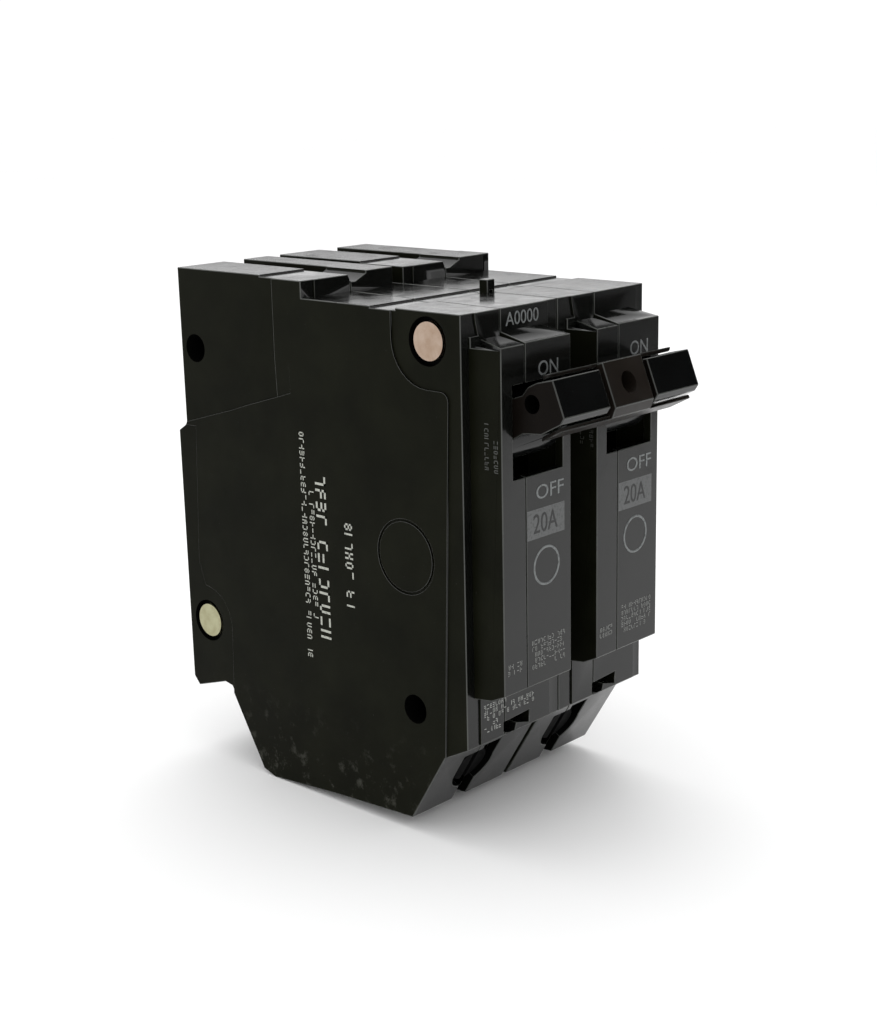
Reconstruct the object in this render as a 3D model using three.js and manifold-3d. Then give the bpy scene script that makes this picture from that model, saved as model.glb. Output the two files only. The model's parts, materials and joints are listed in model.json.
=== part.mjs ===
// Two-pole plug-in circuit breaker with one common handle and one common trip bar.
// Millimetres, +Z up towards the line end. X runs across the poles with 0 midway between them,
// the front faces -Y, Y = 0 is the rear face at the line end, and Z = 0 is the lower front edge.
import * as THREE from 'three';
import { mergeVertices } from 'three/addons/utils/BufferGeometryUtils.js';
import Module from 'manifold-3d';

const wasm = await Module();
wasm.setup();

// ---- driving dimensions ----
const POLES = 2;
const PITCH = 25.4;            // one inch from pole to pole
const POLE_W = 25.1;           // width of one pole's case
const WIDTH = PITCH * (POLES - 1) + POLE_W;
const WALL = 1.7;              // side wall of the case
const SHELL = 1.8;             // edge walls of the case
const GAP = 0.3;               // clearance between pieces that rest on each other
const SEAM = 0.2;              // visible line between the two halves of a pole
const SKIM = 0.35;             // depth of the shallow level changes on the mouldings

const FRONT_Y = -72.1;         // front plane of the case
const REAR_Y = 0;              // rear plane at the line end
const FOOT_Y = 2.7;            // rear plane of the mounting foot
const TOP_Z = 92.1;            // top of the front part
const BLOCK_Z = 95.5;          // top of the rear block
const BLOCK_Y = -34.6;         // front of the rear block
const CHAMFER = { y0: -58.3, z0: 0, y1: -66.6, z1: 13.6 };

const BEZEL = { u0: 2.3, u1: 20.3, y: -78.67, z0: 27.3, z1: 87.2, seam: 8.2 };
const SLOT = { u0: 5.1, u1: 18.2, z0: 64.6, z1: 80.5 };
const PIVOT = { y: -70.8, z: 72.5, r: 7.6 };       // toggle drum
const HUB_R = 3.6;             // toggle's hub, inside its curved shield
const GRIP = { u0: 5.2, u1: 17.5 };
const JAW = { u0: 11.6, u1: 16.6, z0: 79 };

const ARM_PIVOT = { y: -56.5, z: 68.5 };
const CRADLE_PIVOT = { y: -60, z: 57 };
const ARMATURE_PIVOT = { y: -43.6, z: 30 };
const TRIP_AXIS = { y: -48.5, z: 38 };
const MID_U = 11.65;           // middle plane of the mechanism in a pole

const RIVETS = [
  { name: 'rivet_upper', y: -64.3, z: 87.1, slot: 'copper' },
  { name: 'rivet_lower', y: -3.1, z: 25.8, slot: 'brass' },
];
const RIVET = { head: 3.3, bore: 4.2, shank: 1.6, headT: 1.1, bury: 0.2 };
const BLIND_HOLES = [{ y: -4, z: 80.4 }, { y: -59.7, z: 21.2 }];
const BLIND_R = 2.7;

// Terminal screw axis: square to the chamfer, through the middle of its access hole.
const CH_LEN = Math.hypot(CHAMFER.y1 - CHAMFER.y0, CHAMFER.z1 - CHAMFER.z0);
const CH_T = [(CHAMFER.y1 - CHAMFER.y0) / CH_LEN, (CHAMFER.z1 - CHAMFER.z0) / CH_LEN];
const CH_N = [CH_T[1], -CH_T[0]];
const SCREW_U = 12;
const SCREW_S = 8;             // distance of the screw axis up the chamfer
const ACCESS = { u: 11.6, s: 8.4, r: 4.9, deep: 4 };
const LUG = { near: 6.5, far: 16.5, half: 4.5, halfU: 5.5, bore: 3.4 };
const WIRE_R = 4;

// ---- materials ----
const finish = (color, roughness, metalness) => ({ color, roughness, metalness });
const FINISH = {
  case: finish(0x1f201a, 0.5, 0), toggle: finish(0x0c0c0d, 0.2, 0), tie: finish(0x2a2522, 0.55, 0),
  copper: finish(0xd7a591, 0.35, 1), brass: finish(0xc8cda5, 0.35, 1), steel: finish(0x9a9c9e, 0.4, 1),
  contact: finish(0xd6d6d2, 0.3, 1), braid: finish(0xb87350, 0.6, 1), insulation: finish(0xb9ab8e, 0.8, 0),
};

// ---- shape helpers ----
const ALONG_X = new THREE.Matrix4().makeBasis(
  new THREE.Vector3(0, 1, 0), new THREE.Vector3(0, 0, 1), new THREE.Vector3(1, 0, 0));
const toX = (u) => u - WIDTH / 2;

function solid(geometry) {
  const bare = geometry.index ? geometry.toNonIndexed() : geometry.clone();
  bare.deleteAttribute('normal');
  bare.deleteAttribute('uv');
  const merged = mergeVertices(bare, 1e-4);
  return new wasm.Manifold(new wasm.Mesh({
    numProp: 3,
    vertProperties: new Float32Array(merged.attributes.position.array),
    triVerts: new Uint32Array(merged.index.array),
  }));
}

const shapeOf = (points) => new THREE.Shape(points.map(([a, b]) => new THREE.Vector2(a, b)));

// A side outline of (y, z) points, carried across from u0 to u1.
function slab(points, u0, u1) {
  const flat = new THREE.ExtrudeGeometry(shapeOf(points), { depth: u1 - u0, bevelEnabled: false });
  return solid(flat.applyMatrix4(ALONG_X).translate(toX(u0), 0, 0));
}

// A plan of (u, y) points, carried up from z0 to z1.
function column(points, z0, z1) {
  const plan = points.map(([u, y]) => [toX(u), y]);
  const flat = new THREE.ExtrudeGeometry(shapeOf(plan), { depth: z1 - z0, bevelEnabled: false });
  return solid(flat.translate(0, 0, z0));
}

// A front view of (u, z) points, carried back from y0 to y1.
function panel(points, y0, y1) {
  const front = points.map(([u, z]) => [toX(u), z]);
  const flat = new THREE.ExtrudeGeometry(shapeOf(front), { depth: y1 - y0, bevelEnabled: false });
  return solid(flat.rotateX(Math.PI / 2).translate(0, y1, 0));
}

function block(u0, u1, y0, y1, z0, z1) {
  const box = new THREE.BoxGeometry(u1 - u0, y1 - y0, z1 - z0);
  return solid(box.translate(toX((u0 + u1) / 2), (y0 + y1) / 2, (z0 + z1) / 2));
}

// A round bar across the pole.
function rod(at, r, u0, u1, sides = 16) {
  const bar = new THREE.CylinderGeometry(r, r, u1 - u0, sides).rotateZ(-Math.PI / 2);
  return solid(bar.translate(toX((u0 + u1) / 2), at.y, at.z));
}

// A round bar between two (u, y, z) points.
function stick(a, b, r, sides = 16) {
  const from = new THREE.Vector3(toX(a[0]), a[1], a[2]);
  const to = new THREE.Vector3(toX(b[0]), b[1], b[2]);
  const way = to.clone().sub(from);
  const turn = new THREE.Quaternion().setFromUnitVectors(
    new THREE.Vector3(0, 1, 0), way.clone().normalize());
  const bar = new THREE.CylinderGeometry(r, r, way.length(), sides).applyQuaternion(turn);
  const mid = from.add(to).multiplyScalar(0.5);
  return solid(bar.translate(mid.x, mid.y, mid.z));
}

const join = (first, ...rest) => rest.reduce((all, next) => all.add(next), first);
const cut = (first, ...rest) => rest.reduce((all, next) => all.subtract(next), first);

// Points along an arc from angle a0 to a1 (degrees from +Y towards +Z).
function arc(y, z, r, a0, a1, steps = 8) {
  return Array.from({ length: steps + 1 }, (_, i) => {
    const a = THREE.MathUtils.degToRad(a0 + ((a1 - a0) * i) / steps);
    return [y + r * Math.cos(a), z + r * Math.sin(a)];
  });
}

// Point at distance s up the chamfer and depth d inwards from it.
const chamferPoint = (s, d) => [
  CHAMFER.y0 + CH_T[0] * s + CH_N[0] * d,
  CHAMFER.z0 + CH_T[1] * s + CH_N[1] * d,
];
// A (distance up, depth) outline on the chamfer's frame, carried across from u0 to u1.
const chamferSlab = (points, u0, u1) => slab(points.map(([s, d]) => chamferPoint(s, d)), u0, u1);
const chamferCut = (s0, s1, u0, u1, deep = ACCESS.deep) =>
  chamferSlab([[s0, -deep], [s0, deep], [s1, deep], [s1, -deep]], u0, u1);

// ---- case ----
const OUTLINE = [
  [REAR_Y, BLOCK_Z], [REAR_Y, 65.4], [FOOT_Y, 63.7], [FOOT_Y, 12.9], [1.2, 11.2], [-7, 13.8],
  [-9.1, 13.4], [-17.9, -1.6], [-21, -2.6], [-39, -1.1], [CHAMFER.y0, CHAMFER.z0],
  [CHAMFER.y1, CHAMFER.z1], [FRONT_Y, 16.5], [FRONT_Y, TOP_Z], [BLOCK_Y, TOP_Z], [BLOCK_Y, BLOCK_Z],
];
const HOLLOW = [
  [REAR_Y - SHELL, BLOCK_Z - SHELL], [REAR_Y - SHELL, 64.4], [FOOT_Y - SHELL, 62.6],
  [FOOT_Y - SHELL, 14.2], [-7, 15.8], [-10.2, 15.1], [-18.7, 0.6], [-39, 0.9], [-56.8, 1.1],
  [-65.1, 14.6], [FRONT_Y + SHELL, 17.7], [FRONT_Y + SHELL, TOP_Z - SHELL],
  [BLOCK_Y + SHELL, TOP_Z - SHELL], [BLOCK_Y + SHELL, BLOCK_Z - SHELL],
];
const BEZEL_SIDE = [
  [FRONT_Y + 0.5, 88.3], [BEZEL.y, BEZEL.z1], [BEZEL.y, BEZEL.z0], [-75.7, 25.9],
  [FRONT_Y + 0.5, 25.35],
];
// What the left half's bezel lacks at its top: a lower slope, and a corner cut askew in plan.
const COVER_SLOPE = [[FRONT_Y, 87.6], [BEZEL.y - 1, 86.9], [BEZEL.y - 1, 92], [FRONT_Y, 92]];
const COVER_CORNER = [[0, BEZEL.y - 1], [2.25, BEZEL.y], [4.95, FRONT_Y], [0, FRONT_Y]];
const COVER_CORNER_Z = 86.5;
// The sunk strip along the front plane's left edge, which swells round the bezel's corner.
const FRONT_STRIP = [[-1, 10], [3.5, 10], [3.5, COVER_CORNER_Z], [4.9, COVER_CORNER_Z], [4.9, 87.5],
  [4.15, 88.6], [3.6, 90.9], [3.5, 93], [-1, 93]];
// Shallow level changes on an outer side: foot strip and front strip, each round a rivet.
const SIDE_ZONES = [
  [[-2.9, 65.2], [-1.4, 38], ...arc(-3.1, 25.8, 7.35, 90, 180), [-9.8, 10], [4, 10], [4, 65]],
  [[-56.2, 93], ...arc(-64.3, 87.1, 8.1, 0, -90), ...arc(-67.4, 77.4, 1.6, 90, 180, 4),
    [-66.7, 13], [-73, 13], [-73, 93]],
];
// Side of the rear block: sunk along its front line and running out towards the rear.
const REAR_ZONE = [[-26.5, 96], [-26.5, 73.5], [-17.7, 70.9], [-13.9, 69.65], [1, 65.4], [1, 96]];
const REAR_TAPER = [[-1, -26.5], [0.45, -26.5], [0.08, 1], [-1, 1]];
// A second, shorter line in front of it that runs out upwards.
const SHORT_ZONE = [[-30.4, 81], [-30.4, 74.7], [-26.5, 73.5], [-26.5, 81]];
const SHORT_TAPER = [[-1, 80.7], [0, 80.7], [0.25, 73.5], [-1, 73.5]];
const VENT = [[9.55, 18.9], [16.6, 19.25], [16.45, 16.95], [13, 17.93], [12.4, 16.2], [9.5, 17.1]];
const ROUND_MARK = { y: -58.3, z: 49, r: 6.55, w: 0.25 };

// The rear block is flush with an outer side and stands back from the neighbouring pole.
const BLOCK_IN = { left: 0.7, right: 23 };
const blockSides = (outerLeft, outerRight) =>
  [outerLeft ? 0 : BLOCK_IN.left, outerRight ? POLE_W : BLOCK_IN.right];

function caseOuter(p, outerLeft, outerRight) {
  const side = p + POLE_W;
  const [left, right] = blockSides(outerLeft, outerRight);
  const sunk = BLOCK_Y + SKIM;
  const planBlock = [[left, REAR_Y], [left, sunk], [3.1, sunk], [3.1, BLOCK_Y], [22.9, BLOCK_Y],
    [22.9, sunk], [right, sunk], [right, REAR_Y]];
  const lower = slab(OUTLINE.slice(1, 15).concat([[REAR_Y, TOP_Z]]), p, side);
  const upper = column(planBlock.map(([u, y]) => [p + u, y]), TOP_Z - 1, BLOCK_Z);
  const strips = [panel(FRONT_STRIP.map(([u, z]) => [p + u, z]), FRONT_Y - 1, FRONT_Y + SKIM),
    block(p + 22.3, side + 1, FRONT_Y - 1, FRONT_Y + SKIM, 10, TOP_Z + 1)];
  const bezel = slab(BEZEL_SIDE, p + BEZEL.u0, p + BEZEL.u1);
  const corner = column(COVER_CORNER.map(([u, y]) => [p + u, y]), COVER_CORNER_Z, TOP_Z);
  return join(cut(join(lower, upper), ...strips), cut(bezel, corner));
}

function caseHollow(p, outerLeft, outerRight) {
  const [left, right] = blockSides(outerLeft, outerRight);
  const wide = slab(HOLLOW, p + WALL, p + POLE_W - WALL);
  const behindBezel = block(p + 4, p + 18.9, BEZEL.y + WALL, FRONT_Y + 3, 29, 85);
  const blockLeft = block(p, p + left + WALL, BLOCK_Y, REAR_Y, TOP_Z - SHELL, BLOCK_Z);
  const blockRight = block(p + right - WALL, p + POLE_W, BLOCK_Y, REAR_Y, TOP_Z - SHELL, BLOCK_Z);
  return join(cut(wide, blockLeft, blockRight), behindBezel);
}

// Bosses that carry a cross pin at both walls.
const bossPair = (p, at, r) => join(
  rod(at, r, p + 1, p + 4.2), rod(at, r, p + 20.9, p + POLE_W - 1));

function caseBosses(p, outerLeft, outerRight) {
  const tubes = RIVETS.map((at) => rod(at, 3.45, p + 1, p + POLE_W - 1));
  const trunnions = join(rod(PIVOT, 3.3, p + 1, p + 5), rod(PIVOT, 3.3, p + 18.3, p + POLE_W - 1));
  const pins = [ARM_PIVOT, CRADLE_PIVOT, ARMATURE_PIVOT].map((at) => bossPair(p, at, 2.8));
  const cups = BLIND_HOLES.flatMap((at) => [
    ...(outerLeft ? [rod(at, 4, p + 1, p + 7)] : []),
    ...(outerRight ? [rod(at, 4, p + POLE_W - 7, p + POLE_W - 1)] : []),
  ]);
  return join(trunnions, ...tubes, ...pins, ...cups);
}

function caseCuts(p, outerLeft, outerRight) {
  const end = p + POLE_W;
  const cuts = [
    // handle slot, line jaw slot with its shallow notch forwards, vent in the lower front plane
    block(p + SLOT.u0, p + SLOT.u1, -90, BEZEL.y + 4, SLOT.z0, SLOT.z1),
    block(p + JAW.u0, p + JAW.u1, -24, 5, JAW.z0, BLOCK_Z + 5),
    panel([[11.5, 99], [11.5, 95], [12.2, 93.8], [13.3, 93.8], [16, 95], [16, 99]]
      .map(([u, z]) => [p + u, z]), BLOCK_Y - 1, -20),
    panel(VENT.map(([u, z]) => [p + u, z]), FRONT_Y - 1, FRONT_Y + 3),
    // trunnion and cross pin sockets
    rod(PIVOT, 2.25, p + 3.2, p + 19.5, 16),
    ...[ARM_PIVOT, CRADLE_PIVOT, ARMATURE_PIVOT].map((at) => rod(at, 1.75, p + 2.3, p + 22.8, 16)),
    ...RIVETS.map((at) => rod(at, RIVET.shank + GAP, p - 1, end + 1, 16)),
    // keyhole in the chamfer: screw access hole, slit to the lower edge, wire entry below
    stick([p + ACCESS.u, ...chamferPoint(ACCESS.s, -ACCESS.deep)],
      [p + ACCESS.u, ...chamferPoint(ACCESS.s, ACCESS.deep)], ACCESS.r, 32),
    chamferCut(ACCESS.s, ACCESS.s + ACCESS.r, p + ACCESS.u - ACCESS.r, p + ACCESS.u),
    chamferCut(-2, ACCESS.s, p + 10.5, p + 14.2),
    chamferCut(ACCESS.s, 14.3, p + ACCESS.u, p + 16.2),
    stick([p + SCREW_U, ...chamferPoint(SCREW_S - 24, 11.5)],
      [p + SCREW_U, ...chamferPoint(SCREW_S - 8, 11.5)], WIRE_R, 28),
    // shallow steps on the tops
    block(p - 1, end + 1, -57, -51.4, TOP_Z - SKIM, TOP_Z + 1),
    block(p, p + JAW.u0, BLOCK_Y - 1, -23, BLOCK_Z - SKIM, BLOCK_Z + 1),
  ];
  if (outerLeft) cuts.push(...outerFaceCuts((depth) => p + depth));
  else cuts.push(...innerFaceCuts((depth) => p + depth));
  if (outerRight) cuts.push(...outerFaceCuts((depth) => end - depth));
  else cuts.push(...innerFaceCuts((depth) => end - depth));
  return cuts;
}

// Cutters for one side face; at(depth) is the place across the pole at a depth under that face.
const spread = (at, d0, d1) => [Math.min(at(d0), at(d1)), Math.max(at(d0), at(d1))];

function outerFaceCuts(at) {
  const skin = spread(at, -1, SKIM);
  const { r, w } = ROUND_MARK;
  const tapered = (points) => points.map(([depth, other]) => [at(depth), other]);
  return [
    ...SIDE_ZONES.map((zone) => slab(zone, ...skin)),
    column(tapered(REAR_TAPER), 60, 100).intersect(slab(REAR_ZONE, ...spread(at, -1, 1))),
    panel(tapered(SHORT_TAPER), -31, -26).intersect(slab(SHORT_ZONE, ...spread(at, -1, 1))),
    ...RIVETS.map((pin) => rod(pin, RIVET.bore, ...spread(at, -1, 1.3 + SKIM), 32)),
    ...BLIND_HOLES.map((hole) => rod(hole, BLIND_R, ...spread(at, -1, 6), 20)),
    cut(rod(ROUND_MARK, r + w, ...skin, 36), rod(ROUND_MARK, r - w, ...skin, 36)),
  ];
}

// Towards the other pole: hole for the trip bar, pocket for the key, relief along the chamfer.
function innerFaceCuts(at) {
  const relief = [[-1, -1], [-1, 1.4], [CH_LEN + 1, 1.4], [CH_LEN + 1, -1]];
  return [
    rod(TRIP_AXIS, 2.8, ...spread(at, -1, 3)),
    block(...spread(at, -0.1, KEY.pocket), KEY.y0 - GAP, KEY.y1 + GAP, KEY.z0 - GAP, TOP_Z + 1),
    chamferSlab(relief, ...spread(at, -1, 0.5)),
  ];
}

// Key that ties the two cases together: a cap over both top edges with a leg in each.
const KEY = { y0: -56.8, y1: -54.8, z0: 90.9, z1: 94.35, half: 1, leg: 0.55, pocket: 1.15 };

// The two halves part on a stepped surface, from the bezel through the front plane to the
// rear block.
function halfRegions(p) {
  const line = [[BEZEL.seam, -100], [BEZEL.seam, BEZEL.y], [9.7, FRONT_Y],
    [11.9, BLOCK_Y], [11.9, 20]];
  const left = line.map(([u, y]) => [p + u, y]);
  const right = line.map(([u, y]) => [p + u + SEAM, y]);
  return {
    cover: column([[p - 5, -100], ...left, [p - 5, 20]], -20, 120),
    base: column([...right, [p + 30, 20], [p + 30, -100]], -20, 120),
  };
}

function buildCase(p, n, outerLeft, outerRight) {
  const outer = caseOuter(p, outerLeft, outerRight);
  const hollow = caseHollow(p, outerLeft, outerRight);
  const shell = cut(outer, hollow).add(caseBosses(p, outerLeft, outerRight).intersect(outer));
  const open = cut(shell, ...caseCuts(p, outerLeft, outerRight));
  const halves = halfRegions(p);
  const slope = slab(COVER_SLOPE, p, p + 12);
  add(`cover_${n}`, cut(open.intersect(halves.cover), slope), 'case');
  add(`base_${n}`, open.intersect(halves.base), 'case');
}

// ---- handle ----
const GRIP_SIDE = [
  [-86.95, 82.35], [-83.6, 81.55], [-81.7, 80.6], [-80.65, 79.2], [-76, 77.6], [-74, 72],
  [-77, 70.6], [-80.6, 72.7], [-84.6, 73.05], [-88.6, 75.15], [-89.35, 76.3],
];
const TIE_HOLE = { y: -82.7, z: 77.9 };
const SHIELD = { from: -39, to: 81, corner: 2.5 };   // degrees above straight forward

function buildToggle(p, n) {
  const u0 = p + SLOT.u0 + 0.25;
  const u1 = p + SLOT.u1 - 0.25;
  const curve = arc(PIVOT.y, PIVOT.z, PIVOT.r, 180 - SHIELD.from, 180 - SHIELD.to, 20);
  const shield = slab([[PIVOT.y, PIVOT.z], ...curve], u0, u1);
  // lower right corner of the shield, rounded as seen from the front
  const foot = curve[0][1];
  const round = arc(u1 - SHIELD.corner, foot + SHIELD.corner, SHIELD.corner, 0, -90);
  const corner = panel([...round, [u1 - SHIELD.corner, foot - 1], [u1 + 1, foot - 1],
    [u1 + 1, foot + SHIELD.corner]], PIVOT.y - PIVOT.r - 1, PIVOT.y - HUB_R);
  const trunnion = rod(PIVOT, 2, p + 3.5, p + 19.2, 16);
  const grip = slab(GRIP_SIDE, p + GRIP.u0, p + GRIP.u1);
  const cross = rod(TIE_HOLE, 1.6, p, p + GRIP.u0 + 4, 16);
  const body = join(cut(shield, corner), rod(PIVOT, HUB_R, u0, u1, 24), trunnion, grip);
  add(`toggle_${n}`, cut(body, cross), 'toggle');
}

// The tie bridges the two grips: a block between them, and a rail above and below that clips
// over both, so neither pole can be thrown alone.
function buildTie() {
  const middle = (GRIP.u1 + PITCH + GRIP.u0) / 2;
  const body = slab([[-86.6, 83.25], [-82.6, 82], [-81.2, 79.6], [-81.2, 73], [-84.5, 71.9],
    [-88.75, 74.2], [-89.45, 76]], middle - 5.4, middle + 5.4);
  const upper = slab([[-85.2, 82.2], [-83.5, 81.8], [-82.3, 81.25], [-82.4, 82.2], [-85.4, 83]],
    8.3, 39.7);
  const lower = slab([[-88.2, 74.65], [-84.6, 72.8], [-84.4, 71.9], [-88.5, 74]], 5.5, 41.4);
  const eye = stick([middle, -92, 79.7], [middle, -79, 78.7], 1.9, 20);
  add('handle_tie', cut(join(body, upper, lower), eye), 'tie');
}

// ---- line side: jaw, strap and fixed contact ----
const STRAP_Z = 81;
const CONTACT_Y = -37.5;

function buildLine(p, n) {
  const flat = block(p + 8.9, p + 14.4, -41, -22.6, STRAP_Z, STRAP_Z + 1.5);
  const riser = block(p + 8.9, p + 19.3, -24.1, -22.6, STRAP_Z, 92.5);
  add(`line_strap_${n}`, join(flat, riser), 'copper');
  const web = block(p + 10.4, p + 17.8, -22.3, -21.3, 80, 92.5);
  const leaves = [[10.4, 11.3], [16.9, 17.8]].map(([u0, u1]) =>
    block(p + u0, p + u1, -21.5, -3, 80, 92.5));
  add(`line_jaw_${n}`, join(web, ...leaves), 'steel');
  add(`fixed_contact_${n}`, stick([p + MID_U, CONTACT_Y, 79.3],
    [p + MID_U, CONTACT_Y, STRAP_Z - GAP], 2.5, 16), 'contact');
}

// ---- moving contact arm ----
function buildArm(p, n) {
  const { y, z } = ARM_PIVOT;
  const lever = slab([[y - 3, z - 1.5], [y + 1, z - 3.6], [-35, 74.4], [-34.6, 77.2], [-40.5, 77.4],
    [y, z + 3.6]], p + MID_U - 1.5, p + MID_U + 1.5);
  const hub = rod(ARM_PIVOT, 3.6, p + MID_U - 1.5, p + MID_U + 1.5);
  const hole = rod(ARM_PIVOT, 1.75, p, p + POLE_W, 16);
  add(`contact_arm_${n}`, cut(join(lever, hub), hole), 'copper');
  add(`arm_pin_${n}`, rod(ARM_PIVOT, 1.5, p + 2.6, p + 22.5, 16), 'steel');
  add(`moving_contact_${n}`, stick([p + MID_U, CONTACT_Y, 77.7], [p + MID_U, CONTACT_Y, 79],
    2.5, 16), 'contact');
}

// Stack of notched steel plates between two insulating cheeks, round the contact's path.
function buildArcChute(p, n) {
  const plate = (z) => column([[4.4, -40], [8.6, -40], [9.2, -29.5], [14.1, -29.5], [14.7, -40],
    [18.9, -40], [18.9, -25], [4.4, -25]].map(([u, y]) => [p + u, y]), z, z + 1);
  const plates = [62.5, 66, 69.5, 73].map(plate);
  const cheeks = [[3.6, 4.6], [18.7, 19.7]].map(([u0, u1]) =>
    block(p + u0, p + u1, -39, -25.5, 61.5, 75));
  add(`arc_chute_${n}`, join(...cheeks, ...plates), 'insulation');
}

// ---- trip mechanism ----
function buildCradle(p, n) {
  const { y, z } = CRADLE_PIVOT;
  const u0 = p + 14.5;
  const u1 = p + 16.5;
  const lever = slab([[y - 2, z + 2.4], [y, z - 3], [-42.5, 52.6], [-42.3, 55.4], [-52, 59.2]], u0, u1);
  const horn = block(u0, p + 18.9, -53.4, -51.4, 57, 59);
  const hole = rod(CRADLE_PIVOT, 1.75, p, p + POLE_W, 16);
  add(`cradle_${n}`, cut(join(lever, rod(CRADLE_PIVOT, 3, u0, u1), horn), hole), 'steel');
  add(`cradle_pin_${n}`, rod(CRADLE_PIVOT, 1.5, p + 2.6, p + 22.5, 16), 'steel');
}

// Overcentre spring, drawn as its close-wound coil.
function buildSpring(p, n) {
  const turns = 6;
  const wire = 0.45;
  const coil = 1.3;
  const height = 12;
  const foot = new THREE.Vector3(toX(p + 18.6), -52.4, 60);
  const path = new THREE.CatmullRomCurve3(Array.from({ length: turns * 6 + 1 }, (_, i) => {
    const angle = (i / 6) * Math.PI * 2;
    const rise = (i / (turns * 6)) * height;
    return new THREE.Vector3(foot.x + coil * Math.cos(angle), foot.y + coil * Math.sin(angle),
      foot.z + rise);
  }));
  const section = new THREE.Shape(new THREE.EllipseCurve(0, 0, wire, wire).getPoints(6).slice(0, 6));
  const wireSolid = new THREE.ExtrudeGeometry(section, { steps: turns * 8, extrudePath: path });
  add(`operating_spring_${n}`, solid(wireSolid), 'steel');
}

function buildTripUnit(p, n) {
  const a = ARMATURE_PIVOT;
  // armature: plate that rocks on its lower pin, with a window where the cradle tip latches
  const plate = block(p + 5.5, p + 18.5, a.y - 0.7, a.y + 0.7, a.z - 1, 52.5);
  const knuckle = rod(a, 2.6, p + 5.5, p + 18.5, 16);
  const windowCut = block(p + 13.9, p + 17.1, a.y - 3, a.y + 3, 43, 60);
  const hole = rod(a, 1.75, p, p + POLE_W, 16);
  add(`armature_${n}`, cut(join(plate, knuckle), windowCut, hole), 'steel');
  add(`armature_pin_${n}`, rod(a, 1.5, p + 2.6, p + 22.5, 16), 'steel');
  // magnet yoke: U-shaped, its legs facing the armature either side of the bimetal
  const yoke = cut(block(p + 5.5, p + 18.5, -40.4, -32, 34, 46),
    block(p + 7.3, p + 16.7, -45, -33.8, 30, 50));
  add(`magnet_yoke_${n}`, yoke, 'steel');
  add(`bimetal_${n}`, block(p + 8.2, p + 15.8, -37, -36, 19.5, 53.5), 'brass');
  // flexible lead from the bimetal to the hub of the contact arm
  const lead = new THREE.CatmullRomCurve3([[-38.6, 51.5], [-41, 57], [-47, 59.5], [-51.5, 61],
    [-54.4, 64.8]].map(([y, z]) => new THREE.Vector3(toX(p + 8.4), y, z)));
  const round = new THREE.Shape(new THREE.EllipseCurve(0, 0, 1.25, 1.25).getPoints(10).slice(0, 10));
  add(`flexible_lead_${n}`, solid(new THREE.ExtrudeGeometry(round,
    { steps: 16, extrudePath: lead })), 'braid');
}

// One bar across both poles: when either armature pulls in, it carries the other pole with it.
function buildTripBar() {
  const end = WIDTH - 2.4;
  const bar = rod(TRIP_AXIS, 1.8, 2.4, end, 16);
  const paddles = Array.from({ length: POLES }, (_, i) =>
    block(i * PITCH + 7.5, i * PITCH + 12.5, -49.3, -45.2, TRIP_AXIS.z, TRIP_AXIS.z + 8)
      .subtract(block(i * PITCH + 7, i * PITCH + 13, -50, -46.6, TRIP_AXIS.z + 3, TRIP_AXIS.z + 9)));
  add('trip_bar', join(bar, ...paddles), 'tie');
}

// ---- load side: strap, lug, clamp shoe and screw ----
function buildLoad(p, n) {
  const flat = block(p + 8.2, p + 15.8, -47.5, -33.5, 17.7, 19.2);
  const drop = slab([[-47.5, 19.2], [-46.4, 19.2], [-44.2, 12], [-45.3, 11.8]], p + 8.2, p + 15.8);
  add(`load_strap_${n}`, join(flat, drop), 'copper');

  const bodyBox = chamferSlab([[SCREW_S - LUG.half, LUG.near], [SCREW_S + LUG.half, LUG.near],
    [SCREW_S + LUG.half, LUG.far], [SCREW_S - LUG.half, LUG.far]],
  p + SCREW_U - LUG.halfU, p + SCREW_U + LUG.halfU);
  const mid = (LUG.near + LUG.far) / 2;
  const wire = stick([p + SCREW_U, ...chamferPoint(SCREW_S - 8, mid)],
    [p + SCREW_U, ...chamferPoint(SCREW_S + 8, mid)], LUG.bore, 32);
  const tapped = stick([p + SCREW_U, ...chamferPoint(SCREW_S, 0)],
    [p + SCREW_U, ...chamferPoint(SCREW_S, mid)], 2.6, 16);
  add(`lug_${n}`, cut(bodyBox, wire, tapped), 'contact');

  const shoe = chamferSlab([[SCREW_S - 4, mid - 2.6], [SCREW_S + 4, mid - 2.6],
    [SCREW_S + 4, mid - 1.6], [SCREW_S - 4, mid - 1.6]], p + SCREW_U - 1.8, p + SCREW_U + 1.8);
  add(`clamp_shoe_${n}`, shoe, 'steel');

  const along = (d0, d1, r, sides) => stick([p + SCREW_U, ...chamferPoint(SCREW_S, d0)],
    [p + SCREW_U, ...chamferPoint(SCREW_S, d1)], r, sides);
  const head = along(1, 3.8, 3.9, 28);
  const shank = along(3, mid - 2.9, 2.3, 16);
  const driverSlot = chamferSlab([[0, 0], [16, 0], [16, 2.2], [0, 2.2]],
    p + SCREW_U - 0.55, p + SCREW_U + 0.55);
  add(`lug_screw_${n}`, cut(join(head, shank), driverSlot), 'steel');
}

// ---- fasteners across both poles ----
function buildRivets() {
  const { head, shank, headT, bury } = RIVET;
  const near = SKIM + bury;
  for (const at of RIVETS) {
    const heads = [[near, near + headT], [WIDTH - near - headT, WIDTH - near]];
    add(at.name, join(rod(at, shank, 1, WIDTH - 1, 16),
      ...heads.map(([u0, u1]) => rod(at, head, u0, u1, 32))), at.slot);
  }
}

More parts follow.
